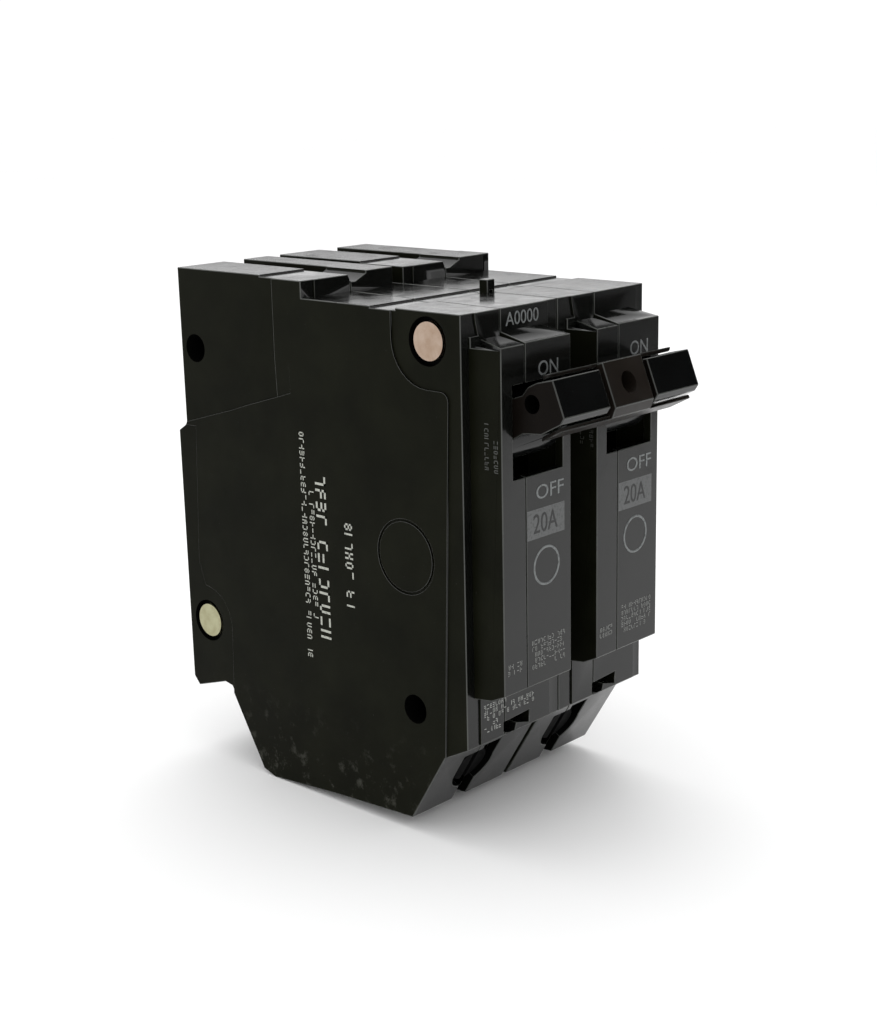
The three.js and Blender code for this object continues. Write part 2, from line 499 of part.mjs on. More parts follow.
function buildKey() {
  const middle = WIDTH / 2;
  const cap = block(middle - KEY.half, middle + KEY.half, KEY.y0, KEY.y1, TOP_Z + GAP, KEY.z1);
  const legs = [[-KEY.half, KEY.leg - KEY.half], [KEY.half - KEY.leg, KEY.half]].map(([u0, u1]) =>
    block(middle + u0, middle + u1, KEY.y0, KEY.y1, KEY.z0, TOP_Z + 1));
  add('pole_key', join(cap, ...legs), 'case');
}

// ---- assembly ----
const breaker = new THREE.Group();

function add(name, body, slot) {
  const { vertProperties, triVerts } = body.getMesh();
  const geometry = new THREE.BufferGeometry();
  geometry.setAttribute('position', new THREE.BufferAttribute(new Float32Array(vertProperties), 3));
  geometry.setIndex(new THREE.BufferAttribute(new Uint32Array(triVerts), 1));
  geometry.computeVertexNormals();
  const mesh = new THREE.Mesh(geometry, new THREE.MeshStandardMaterial(FINISH[slot]));
  mesh.name = name;
  breaker.add(mesh);
}

for (let i = 0; i < POLES; i += 1) {
  const p = i * PITCH;
  const n = i + 1;
  buildCase(p, n, i === 0, i === POLES - 1);
  buildToggle(p, n);
  buildLine(p, n);
  buildArm(p, n);
  buildArcChute(p, n);
  buildCradle(p, n);
  buildSpring(p, n);
  buildTripUnit(p, n);
  buildLoad(p, n);
}
buildTie();
buildTripBar();
buildRivets();
buildKey();

export default breaker;
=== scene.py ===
"""Finish, markings and studio for a two-pole plug-in circuit breaker.

Laid out as an add-on and run as a script. All lengths are in metres in the part's own frame:
X across the poles, the front faces -Y, +Z towards the line end.
"""
import json
import math

import bmesh
import bpy
import numpy as np
from bpy.props import FloatProperty, FloatVectorProperty, IntProperty, PointerProperty
from mathutils import Matrix, Vector


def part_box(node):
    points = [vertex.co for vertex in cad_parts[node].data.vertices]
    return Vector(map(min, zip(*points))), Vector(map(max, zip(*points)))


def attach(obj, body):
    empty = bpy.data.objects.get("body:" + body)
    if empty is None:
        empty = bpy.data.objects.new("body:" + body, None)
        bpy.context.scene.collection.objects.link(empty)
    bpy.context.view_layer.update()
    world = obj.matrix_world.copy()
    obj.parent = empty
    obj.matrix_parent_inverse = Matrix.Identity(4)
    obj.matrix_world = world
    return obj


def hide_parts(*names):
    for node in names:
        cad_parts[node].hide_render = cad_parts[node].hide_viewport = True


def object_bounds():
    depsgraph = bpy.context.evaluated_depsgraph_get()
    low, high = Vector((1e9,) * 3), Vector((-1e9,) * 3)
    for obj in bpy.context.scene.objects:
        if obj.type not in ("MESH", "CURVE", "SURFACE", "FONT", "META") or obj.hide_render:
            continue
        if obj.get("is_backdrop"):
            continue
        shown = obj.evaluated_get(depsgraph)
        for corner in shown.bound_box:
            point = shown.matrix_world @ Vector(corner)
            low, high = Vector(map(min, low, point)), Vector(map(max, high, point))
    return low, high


bl_info = {
    "name": "Two-pole breaker finish",
    "version": (1, 0, 0),
    "blender": (4, 5, 0),
    "location": "View3D > Sidebar > Breaker",
    "description": "Rounded mouldings, markings, metal finishes and a plain studio for a breaker",
    "category": "Object",
}

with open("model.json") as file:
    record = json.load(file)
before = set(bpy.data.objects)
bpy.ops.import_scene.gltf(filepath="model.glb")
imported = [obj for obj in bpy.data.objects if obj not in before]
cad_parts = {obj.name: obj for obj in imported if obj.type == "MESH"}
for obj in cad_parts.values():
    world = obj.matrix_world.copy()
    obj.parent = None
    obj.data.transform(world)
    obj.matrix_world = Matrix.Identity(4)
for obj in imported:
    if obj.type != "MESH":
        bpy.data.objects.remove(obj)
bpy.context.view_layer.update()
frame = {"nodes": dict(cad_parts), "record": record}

MM = 0.001
POLES = (1, 2)
PITCH = 25.4 * MM
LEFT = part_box("cover_1")[0][0]
LEFT_MM = LEFT / MM
PITCH_MM = PITCH / MM

# Places on the case, all in millimetres in the part's frame.
FRONT_Y = -72.1                # front plane
BEZEL_Y = -78.67               # front of the raised bezel
BEZEL_U = 2.3                  # bezel's left wall, from the pole's left side
PITS = ((-4, 80.4, 2.7), (-59.7, 21.2, 2.7), (-64.3, 87.1, 4.2), (-3.1, 25.8, 4.2),
        (-82.7, 77.9, 1.9))    # y, z and radius; the last is the toggles' tie hole
CHAMFER_AT = (-58.3, 0.0)      # y, z of the chamfer's lower edge
CHAMFER_IN = (0.8536, 0.5209)  # y, z of the unit vector into the case, square to the chamfer
KEYHOLE_DEPTH = (0.4, 9)       # how far behind the chamfer its walls lie
KEYHOLE_Z = (0.4, 17)          # and between which heights
KEYHOLE_U = (2, 23)            # and how far across a pole

SHARP_ANGLE = math.radians(28)   # edges that turn more than this are rounded or kept sharp
NARROW_STEP = 0.6 * MM           # a face thinner than this takes less rounding
SIDEWAYS = 0.95                  # x of the normal beyond which a face counts as square to X

# Name, place, size of the square and power in watts.
LAMPS = (
    ("overhead", (0.1, 0.15, 0.75), 0.6, 1.8),
    ("back", (0.61, 0.55, 0.22), 0.5, 0.4),
)
# Name, bearing (x, y), distance, half width, lower and upper height over the floor, tone.
CARDS = (
    ("low_card", (0.73, -0.68), 0.36, 0.22, 0.014, 0.075, 0.22),
    ("black_card", (0.73, -0.68), 0.36, 0.22, 0.075, 0.36, 0.006),
    ("grey_card", (0.73, 0.68), 0.45, 0.28, 0.0, 0.155, 0.16),
)
FLOOR_HALF = 3.0
LAMP_TARGET = (0, -0.04, 0.05)
CAMERA_TARGET = (7.231, -36.0, 46.69)   # millimetres


# ---- settings ----
class BreakerCaseSettings(bpy.types.PropertyGroup):
    """Sizes and colours of the black mouldings."""

    edge_radius: FloatProperty(
        name="Edge radius", description="Rounding along the case's edges",
        default=0.16 * MM, unit="LENGTH")
    colour: FloatVectorProperty(
        name="Case colour", description="Black phenolic moulding",
        subtype="COLOR", size=3, min=0, max=1, default=(0.0042, 0.0045, 0.0040))
    side_colour: FloatVectorProperty(
        name="Side colour", description="Duller olive black of the faces square to X",
        subtype="COLOR", size=3, min=0, max=1, default=(0.0058, 0.0062, 0.0034))
    gloss: FloatProperty(
        name="Case roughness", description="Roughness of the moulded faces",
        subtype="FACTOR", min=0, max=1, default=0.17)


class BreakerHandleSettings(bpy.types.PropertyGroup):
    """Sizes and colours of the toggles and their tie."""

    edge_radius: FloatProperty(
        name="Edge radius", description="Rounding along the grips' edges",
        default=0.2 * MM, unit="LENGTH")
    colour: FloatVectorProperty(
        name="Toggle colour", description="Polished black moulding",
        subtype="COLOR", size=3, min=0, max=1, default=(0.0030, 0.0032, 0.0032))
    tie_colour: FloatVectorProperty(
        name="Tie colour", description="Brown-black moulding",
        subtype="COLOR", size=3, min=0, max=1, default=(0.010, 0.0075, 0.0058))


class BreakerMarkSettings(bpy.types.PropertyGroup):
    """Sizes and colours of the generic markings."""

    letter_height: FloatProperty(
        name="Letter height", description="Height of the position words",
        default=2.5 * MM, unit="LENGTH")
    letter_colour: FloatVectorProperty(
        name="Letter colour", description="Hot-stamped grey words",
        subtype="COLOR", size=3, min=0, max=1, default=(0.16, 0.17, 0.17))
    rating: IntProperty(
        name="Rating", description="Current rating in amperes", default=20)


class BreakerStageSettings(bpy.types.PropertyGroup):
    """Camera and light."""

    azimuth: FloatProperty(
        name="Azimuth", description="Camera bearing round the object",
        default=math.radians(-46.94), subtype="ANGLE")
    elevation: FloatProperty(
        name="Elevation", description="Camera height angle",
        default=math.radians(14.724), subtype="ANGLE")
    roll: FloatProperty(
        name="Roll", description="Camera turn about its own axis",
        default=math.radians(-1.285), subtype="ANGLE")
    distance: FloatProperty(
        name="Distance", description="Camera distance from its target",
        default=329.33 * MM, unit="LENGTH")
    lens: FloatProperty(
        name="Lens", description="Focal length in millimetres on a 36 mm sensor", default=59.04)


# ---- materials ----
class Nodes:
    """Short way to place and wire shader nodes."""

    def __init__(self, name):
        self.material = bpy.data.materials.new(name)
        self.material.use_nodes = True
        self.tree = self.material.node_tree
        self.shader = self.tree.nodes["Principled BSDF"]
        self.coords = self.add("ShaderNodeTexCoord")

    def add(self, kind, **values):
        node = self.tree.nodes.new(kind)
        for key, value in values.items():
            setattr(node, key, value)
        return node

    def wire(self, source, target):
        self.tree.links.new(source, target)

    def noise(self, scale, detail=4.0, roughness=0.55):
        node = self.add("ShaderNodeTexNoise")
        node.inputs["Scale"].default_value = scale
        node.inputs["Detail"].default_value = detail
        node.inputs["Roughness"].default_value = roughness
        self.wire(self.coords.outputs["Object"], node.inputs["Vector"])
        return node.outputs["Fac"]

    def ramp(self, source, stops):
        node = self.add("ShaderNodeValToRGB")
        while len(node.color_ramp.elements) < len(stops):
            node.color_ramp.elements.new(0.5)
        for element, (place, colour) in zip(node.color_ramp.elements, stops):
            element.position = place
            element.color = (*colour, 1) if len(colour) == 3 else colour
        self.wire(source, node.inputs["Fac"])
        return node.outputs["Color"]

    def remap(self, source, low, high, out_low, out_high):
        node = self.add("ShaderNodeMapRange")
        for key, value in zip(("From Min", "From Max", "To Min", "To Max"),
                              (low, high, out_low, out_high)):
            node.inputs[key].default_value = value
        self.wire(source, node.inputs["Value"])
        return node.outputs["Result"]

    def bump(self, source, strength, distance, after=None):
        node = self.add("ShaderNodeBump")
        node.inputs["Strength"].default_value = strength
        node.inputs["Distance"].default_value = distance
        self.wire(source, node.inputs["Height"])
        if after is not None:
            self.wire(after, node.inputs["Normal"])
        return node.outputs["Normal"]

    def blend(self, base, colour, mask):
        """Base colour turned towards a second one by the mask."""
        mix = self.add("ShaderNodeMix", data_type="RGBA")
        mix.inputs["B"].default_value = (*colour, 1)
        self.wire(mask, mix.inputs["Factor"])
        self.wire(base, mix.inputs["A"])
        return mix.outputs["Result"]

    def set(self, **values):
        for key, value in values.items():
            self.shader.inputs[key.replace("_", " ")].default_value = value


def scaled(colour, factor):
    return tuple(min(1, c * factor) for c in colour)


def moulded_plastic(name, colour, roughness, grain=0.05, specks=True, shine=0.5, scuffs=False):
    """Black moulding: cloudy tone from the powder's flow, fine grain, a few pale specks of dust,
    and on a scuffed face pale rubs that thicken towards the lower edge."""
    m = Nodes(name)
    cloud = m.noise(90, 5)
    tone = m.ramp(cloud, [(0.3, scaled(colour, 0.75)), (0.7, scaled(colour, 1.3))])
    if specks:
        dust = m.noise(2600, 2, 0.7)
        tone = m.blend(tone, (0.25, 0.25, 0.24), m.remap(dust, 0.74, 0.8, 0, 0.16))
    if scuffs:
        split = m.add("ShaderNodeSeparateXYZ")
        m.wire(m.coords.outputs["Object"], split.inputs["Vector"])
        low = m.remap(split.outputs["Z"], 0.016, -0.002, 0, 1)
        rub = m.add("ShaderNodeMath", operation="MULTIPLY")
        m.wire(m.remap(m.noise(330, 7, 0.72), 0.56, 0.70, 0, 0.55), rub.inputs[0])
        m.wire(low, rub.inputs[1])
        tone = m.blend(tone, (0.10, 0.10, 0.085), rub.outputs["Value"])
    m.wire(tone, m.shader.inputs["Base Color"])
    patch = m.noise(240, 6, 0.6)
    m.wire(m.remap(patch, 0.3, 0.7, roughness - 0.06, roughness + 0.08),
           m.shader.inputs["Roughness"])
    fine = m.bump(m.noise(3800, 3, 0.6), grain, 0.04 * MM)
    m.wire(m.bump(m.noise(110, 2, 0.5), 0.12, 0.25 * MM, fine), m.shader.inputs["Normal"])
    m.set(IOR=1.52, Specular_IOR_Level=shine)
    return m.material


def plated_metal(name, colour, roughness, stain, brushed=0.0):
    """Plated metal: tone drifts towards the stain colour, with fine scuffs in the roughness."""
    m = Nodes(name)
    cloud = m.noise(420, 5, 0.6)
    m.wire(m.ramp(cloud, [(0.34, stain), (0.62, colour)]), m.shader.inputs["Base Color"])
    scuff = m.noise(2400, 5, 0.7)
    m.wire(m.remap(scuff, 0.3, 0.7, roughness - 0.08, roughness + 0.12),
           m.shader.inputs["Roughness"])
    m.wire(m.bump(scuff, 0.12 + brushed, 0.03 * MM), m.shader.inputs["Normal"])
    m.set(Metallic=1.0)
    return m.material


def fibre_board(name, colour):
    """Vulcanised fibre: mottled, matte, with a faint felted surface."""
    m = Nodes(name)
    felt = m.noise(900, 6, 0.7)
    m.wire(m.ramp(felt, [(0.3, scaled(colour, 0.7)), (0.7, scaled(colour, 1.2))]),
           m.shader.inputs["Base Color"])
    m.wire(m.remap(felt, 0.3, 0.7, 0.7, 0.9), m.shader.inputs["Roughness"])
    m.wire(m.bump(felt, 0.3, 0.08 * MM), m.shader.inputs["Normal"])
    return m.material


def stamped_ink(name, colour, roughness=0.5):
    """Printed or hot-stamped ink: slightly broken coverage over the black."""
    m = Nodes(name)
    cover = m.noise(2100, 4, 0.65)
    m.wire(m.ramp(cover, [(0.34, scaled(colour, 0.45)), (0.5, colour)]),
           m.shader.inputs["Base Color"])
    m.wire(m.remap(cover, 0.3, 0.7, roughness - 0.1, roughness + 0.1),
           m.shader.inputs["Roughness"])
    return m.material


MATERIALS = {}


def make_materials(scene):
    case = scene.breaker_case
    handle = scene.breaker_handle
    marks = scene.breaker_marks
    colour = tuple(case.colour)
    MATERIALS.update(
        case=moulded_plastic("case_moulding", colour, case.gloss, shine=0.36),
        case_side=moulded_plastic("case_side_moulding", tuple(case.side_colour), 0.42, 0.1,
                                  shine=0.03, scuffs=True),
        # case_edge: the case colour made nine times paler on the rounded edges, a painted highlight
        # along every edge
        case_edge=moulded_plastic("case_edge_painted_highlight", scaled(colour, 9), 0.3, shine=0.5),
        # toggle_edge: the case colour made six times paler on the grips' and tie's rounded edges, a
        # painted highlight
        toggle_edge=moulded_plastic("toggle_edge_painted_highlight", scaled(colour, 6), 0.25, shine=0.4),
        # pit: near-black, unshiny moulding, a painted shade inside the round pits, the tie hole and
        # the keyhole
        pit=moulded_plastic("pit_painted_shade", scaled(colour, 0.35), 0.6, specks=False, shine=0.02),
        toggle=moulded_plastic("toggle_moulding", tuple(handle.colour), 0.14, 0.02, shine=0.2),
        tie=moulded_plastic("tie_moulding", tuple(handle.tie_colour), 0.36, 0.08, shine=0.22),
        toggle_side=moulded_plastic("toggle_side_moulding", scaled(tuple(handle.tie_colour), 0.45),
                                    0.4, 0.08, shine=0.04),
        rivet_copper=plated_metal("copper_plate", (0.44, 0.34, 0.27), 0.36, (0.36, 0.26, 0.19)),
        rivet_yellow=plated_metal("yellow_passivate", (0.40, 0.39, 0.25), 0.38, (0.32, 0.30, 0.18)),
        # near-black, non-metallic, nearly unshiny screw: a painted shade for the depth of the
        # access holes
        dark_steel=moulded_plastic("screw_painted_shade", (0.003, 0.003, 0.0031), 0.6, specks=False,
                                   shine=0.04),
        copper=plated_metal("bright_copper", (0.8, 0.45, 0.31), 0.28, (0.45, 0.2, 0.12)),
        steel=plated_metal("plated_steel", (0.56, 0.56, 0.55), 0.3, (0.36, 0.35, 0.33), 0.1),
        contact=plated_metal("silver_contact", (0.86, 0.85, 0.82), 0.26, (0.6, 0.58, 0.54)),
        lug_metal=plated_metal("tinned_aluminium", (0.74, 0.75, 0.77), 0.33, (0.55, 0.56, 0.58)),
        bimetal=plated_metal("rolled_bimetal", (0.6, 0.5, 0.33), 0.32, (0.4, 0.33, 0.22), 0.2),
        braid=plated_metal("copper_braid", (0.7, 0.38, 0.25), 0.45, (0.3, 0.13, 0.07), 0.5),
        insulation=fibre_board("vulcanised_fibre", (0.42, 0.35, 0.24)),
        letters=stamped_ink("stamped_letters", tuple(marks.letter_colour)),
        box=stamped_ink("rating_box", (0.085, 0.088, 0.088), 0.42),
        rating=stamped_ink("rating_figures", (0.010, 0.010, 0.010), 0.42),
        fine_print=stamped_ink("fine_print", (0.2, 0.205, 0.195), 0.5),
        front_print=stamped_ink("front_print", (0.36, 0.37, 0.35), 0.5),
        wall_print=stamped_ink("wall_print", (0.055, 0.058, 0.052), 0.5),
        side_print=stamped_ink("side_print", (0.42, 0.43, 0.38), 0.6),
    )


# ---- mesh helpers ----
def clean(mesh):
    """Join doubled corners and drop the edges inside flat faces."""
    bm = bmesh.new()
    bm.from_mesh(mesh)
    bmesh.ops.remove_doubles(bm, verts=bm.verts, dist=0.002 * MM)
    bmesh.ops.dissolve_limit(bm, angle_limit=math.radians(0.6), verts=bm.verts, edges=bm.edges)
    bm.to_mesh(mesh)
    bm.free()


def in_pit(point):
    """Inside one of the round pits of the sides: blind holes, rivet sinks, toggles' tie holes."""
    return any(math.hypot(point[1] / MM - y, point[2] / MM - z) < r + 0.1 for y, z, r in PITS)


def in_keyhole(polygon):
    """Wall of the keyhole behind the chamfer: depth = (centre - chamfer's edge) . inward."""
    x, y, z = (c / MM for c in polygon.center)
    depth = (y - CHAMFER_AT[0]) * CHAMFER_IN[0] + (z - CHAMFER_AT[1]) * CHAMFER_IN[1]
    inside = KEYHOLE_DEPTH[0] < depth < KEYHOLE_DEPTH[1] and KEYHOLE_Z[0] < z < KEYHOLE_Z[1]
    across = (x - LEFT_MM) % PITCH_MM
    return inside and (abs(polygon.normal.x) < SIDEWAYS or KEYHOLE_U[0] < across < KEYHOLE_U[1])


def weigh_edges(mesh, least):
    """Bevel weights: 1 on the sharp edges that stick out, less beside a narrow step, and none
    on edges shorter than the least length."""
    bm = bmesh.new()
    bm.from_mesh(mesh)
    weight = bm.edges.layers.float.new("bevel_weight_edge")
    for edge in bm.edges:
        sharp = len(edge.link_faces) == 2 and edge.calc_face_angle(0) > SHARP_ANGLE
        if sharp and edge.is_convex:
            narrow = min(f.calc_area() for f in edge.link_faces) / edge.calc_length()
            edge[weight] = 1.0 if narrow > NARROW_STEP else 0.3
        if edge.calc_length() < least or all(in_pit(vert.co) for vert in edge.verts):
            edge[weight] = 0.0
        edge.smooth = not (sharp and edge[weight] == 0)
    bm.to_mesh(mesh)
    bm.free()


def finished(node, radius, material, segments=3, edge=None, side=None, least=0):
    """Copy of a CAD node with its edges rounded; it stands for the node. The edge material, if
    named, is a paler painted highlight on the rounded edges; the side material, if named, goes to
    the faces square to X, and the pits and keyhole then take a near-black painted shade."""
    source = frame["nodes"][node]
    piece = bpy.data.objects.new(node + "_shell", source.data.copy())
    bpy.context.scene.collection.objects.link(piece)
    piece.data.materials.clear()
    piece.data.materials.append(MATERIALS[material])
    clean(piece.data)
    if side:
        dull_sides(piece.data, side)
    piece.data.shade_smooth()
    weigh_edges(piece.data, least)
    bevel = piece.modifiers.new("edges", "BEVEL")
    bevel.width = radius
    bevel.segments = segments
    bevel.limit_method = "WEIGHT"
    # the rounded edges take the paler edge material: a painted highlight
    if edge:
        bevel.material = len(piece.data.materials)
        piece.data.materials.append(MATERIALS[edge])
    bevel.use_clamp_overlap = False
    bevel.miter_outer = "MITER_ARC"
    flat = piece.modifiers.new("flat_faces", "WEIGHTED_NORMAL")
    flat.mode = "FACE_AREA"
    flat.weight = 100
    flat.keep_sharp = True
    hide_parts(node)
    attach(piece, body_of(node))
    return piece


def dull_sides(mesh, side):
    """The moulding is duller on the faces square to X, which aren't polished in the tool. Inside
    the round pits and the keyhole it takes a near-black painted shade."""
    mesh.materials.append(MATERIALS[side])
    normals = np.empty(len(mesh.polygons) * 3)
    mesh.polygons.foreach_get("normal", normals)
    sideways = np.abs(normals.reshape(-1, 3)[:, 0]) > SIDEWAYS
    pits = np.array([
        in_keyhole(polygon) or all(in_pit(mesh.vertices[v].co) for v in polygon.vertices)
        for polygon in mesh.polygons])
    # faces in the pits and the keyhole take the near-black painted shade
    mesh.materials.append(MATERIALS["pit"])
    mesh.polygons.foreach_set("material_index", np.where(pits, 2, sideways).astype(np.int32))


def body_of(node):
    for body, nodes in frame["record"]["behaviour"]["bodies"].items():
        if node in nodes:
            return body
    raise ValueError("no body holds " + node)


def pole_nodes(*names):
    return [f"{name}_{n}" for n in POLES for name in names]


def new_piece(name, mesh, body, material):
    piece = bpy.data.objects.new(name, mesh)
    bpy.context.scene.collection.objects.link(piece)
    mesh.materials.clear()
    mesh.materials.append(MATERIALS[material])
    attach(piece, body)
    return piece


# ---- pieces ----
class BREAKER_OT_case(bpy.types.Operator):
    """Round the edges of the four case halves and the key between the poles."""

    bl_idname = "breaker.case_halves"
    bl_label = "Case halves"

    def execute(self, context):
        radius = context.scene.breaker_case.edge_radius
        for node in pole_nodes("cover", "base"):
            finished(node, radius, "case", edge="case_edge", side="case_side")
        finished("pole_key", radius, "case", edge="case_edge", side="case_side")
        return {"FINISHED"}


class BREAKER_OT_handle(bpy.types.Operator):
    """Round the two toggles and the tie that joins them."""

    bl_idname = "breaker.handle"
    bl_label = "Toggles and tie"

    def execute(self, context):
        radius = context.scene.breaker_handle.edge_radius
        for node in pole_nodes("toggle"):
            finished(node, radius, "toggle", edge="toggle_edge", side="toggle_side")
        finished("handle_tie", radius, "tie", edge="toggle_edge", least=0.95 * MM)
        return {"FINISHED"}


class BREAKER_OT_rivets(bpy.types.Operator):
    """Finish the two through rivets."""

    bl_idname = "breaker.rivets"
    bl_label = "Rivets"

    def execute(self, context):
        finished("rivet_upper", 0.7 * MM, "rivet_copper", 6)
        finished("rivet_lower", 0.7 * MM, "rivet_yellow", 6)
        return {"FINISHED"}


class BREAKER_OT_terminals(bpy.types.Operator):
    """Finish the line jaws and straps, and the load lugs, shoes and screws."""

    bl_idname = "breaker.terminals"
    bl_label = "Terminals"

    def execute(self, context):
        for names, slot, radius in (
            (("line_jaw", "clamp_shoe"), "steel", 0.12 * MM),
            # the lug screws take the near-black painted shade of the access holes
            (("lug_screw",), "dark_steel", 0.15 * MM),
            (("line_strap", "load_strap"), "copper", 0.15 * MM),
            (("lug",), "lug_metal", 0.2 * MM),
            (("fixed_contact",), "contact", 0.2 * MM),
        ):
            for node in pole_nodes(*names):
                finished(node, radius, slot, 2)
        return {"FINISHED"}


class BREAKER_OT_mechanism(bpy.types.Operator):
    """Finish the contact arms, latch levers, trip unit, chutes, springs and leads."""

    bl_idname = "breaker.mechanism"
    bl_label = "Mechanism"

    def execute(self, context):
        for names, slot in (
            (("arm_pin", "cradle", "cradle_pin", "armature", "armature_pin", "magnet_yoke"),
             "steel"),
            (("contact_arm",), "copper"),
            (("moving_contact",), "contact"),
            (("arc_chute",), "insulation"),
            (("bimetal",), "bimetal"),
        ):
            for node in pole_nodes(*names):
                finished(node, 0.1 * MM, slot, 2)
        finished("trip_bar", 0.15 * MM, "tie", 2)
        for node in pole_nodes("operating_spring", "flexible_lead"):
            slot = "braid" if "lead" in node else "steel"
            frame["nodes"][node].data.materials.clear()
            frame["nodes"][node].data.materials.append(MATERIALS[slot])
        return {"FINISHED"}


# ---- markings ----
class Face:
    """A flat face of the case that carries marks: across, up and height over it to the frame."""

    def __init__(self, origin, across, out):
        self.origin = np.array(origin, float) * MM
        self.across = np.array(across, float)
        self.out = np.array(out, float)

    def place(self, points):
        """(a, b, h) in millimetres to metres in the part's frame: b is always +Z."""
        points = np.asarray(points, float) * MM
        return (self.origin + points[:, :1] * self.across
                + points[:, 1:2] * np.array((0, 0, 1.0)) + points[:, 2:] * self.out)


def front_face(pole, y):
    """Face square to -Y; a runs from the pole's left side."""
    return Face((LEFT_MM + (pole - 1) * PITCH_MM, y, 0), (1, 0, 0), (0, -1, 0))


def left_face(u):
    """Face square to -X; a runs forwards."""
    return Face((LEFT_MM + u, 0, 0), (0, -1, 0), (-1, 0, 0))


def mark(name, face, points, faces, material):
    mesh = bpy.data.meshes.new(name)
    mesh.from_pydata(face.place(points).tolist(), [], faces)
    mesh.update()
    return new_piece(name, mesh, "case", material)


def word(name, text, face, centre, size, material, relief=0.06):
    """Raised word: the built-in letters' outline stretched to size (width, height)."""
    curve = bpy.data.curves.new(name, "FONT")
    curve.body = text
    curve.extrude = 0.5
    curve.resolution_u = 4
    holder = bpy.data.objects.new(name, curve)
    bpy.context.scene.collection.objects.link(holder)
    shaped = holder.evaluated_get(bpy.context.evaluated_depsgraph_get())
    flat = bpy.data.meshes.new_from_object(shaped)
    points = np.empty(len(flat.vertices) * 3)
    flat.vertices.foreach_get("co", points)
    points = points.reshape(-1, 3)
    faces = [tuple(p.vertices) for p in flat.polygons]
    bpy.data.objects.remove(holder)
    bpy.data.curves.remove(curve)
    bpy.data.meshes.remove(flat)
    low, high = points.min(axis=0), points.max(axis=0)
    unit = (points - low) / (high - low) - 0.5
    placed = np.column_stack((centre[0] + unit[:, 0] * size[0], centre[1] + unit[:, 1] * size[1],
                              unit[:, 2] * 2 * relief))
    return mark(name, face, placed, faces, material)


def plate(name, face, centre, size, material, lift=0.03):
    """Rectangle of ink: (centre_a +- width/2, centre_b +- height/2) at h = lift."""
    signs = np.array(((-0.5, -0.5), (0.5, -0.5), (0.5, 0.5), (-0.5, 0.5)))
    flat = np.array(centre) + signs * np.array(size)
    points = np.column_stack((flat, np.full(4, lift)))
    return mark(name, face, points, [(0, 1, 2, 3)], material)


def ring(name, face, centre, radius, width, material, around=72, across=6):
    """Raised ring: distance r + w/2 cos t from its centre and height w/3 sin t, t from 0 to pi."""
    a = np.linspace(0, 2 * np.pi, around, endpoint=False)
    t = np.linspace(0, np.pi, across + 1)
    far = radius + 0.5 * width * np.cos(t)[None, :] * np.ones((around, 1))
    points = np.stack((centre[0] + far * np.cos(a)[:, None], centre[1] + far * np.sin(a)[:, None],
                       width / 3 * np.sin(t)[None, :] * np.ones((around, 1))), axis=-1)
    row = across + 1
    faces = [(i * row + j, ((i + 1) % around) * row + j, ((i + 1) % around) * row + j + 1,
              i * row + j + 1) for i in range(around) for j in range(across)]
    return mark(name, face, points.reshape(-1, 3), faces, material)


def scribble(name, face, rows, height, material, seed, upright=False, lift=0.02):
    """Rows of illegible strokes: each cell of a row draws some of five bars from a seeded
    generator. A row is (a0, a1, b); an upright row runs up from a0 to a1 at b across."""
    draw = np.random.default_rng(seed)
    bar = 0.17 * height
    wide = 0.62 * height
    strokes = ((0, 0, bar, height), (wide - bar, 0, wide, height), (0, 0, wide, bar),
               (0, height - bar, wide, height), (0, 0.45 * height, wide, 0.45 * height + bar))
    points, faces = [], []
    for a0, a1, b in rows:
        for a in np.arange(a0, a1 - wide, wide * 1.45):
            if draw.random() < 0.16:
                continue
            for left, low, right, high in strokes:
                if draw.random() < 0.5:
                    continue
                corners = [(a + left, b + low), (a + right, b + low),
                           (a + right, b + high), (a + left, b + high)]
                if upright:
                    corners = [(q[1], q[0]) for q in reversed(corners)]
                faces.append(tuple(range(len(points), len(points) + 4)))
                points += [(p, q, lift) for p, q in corners]
    return mark(name, face, points, faces, material)


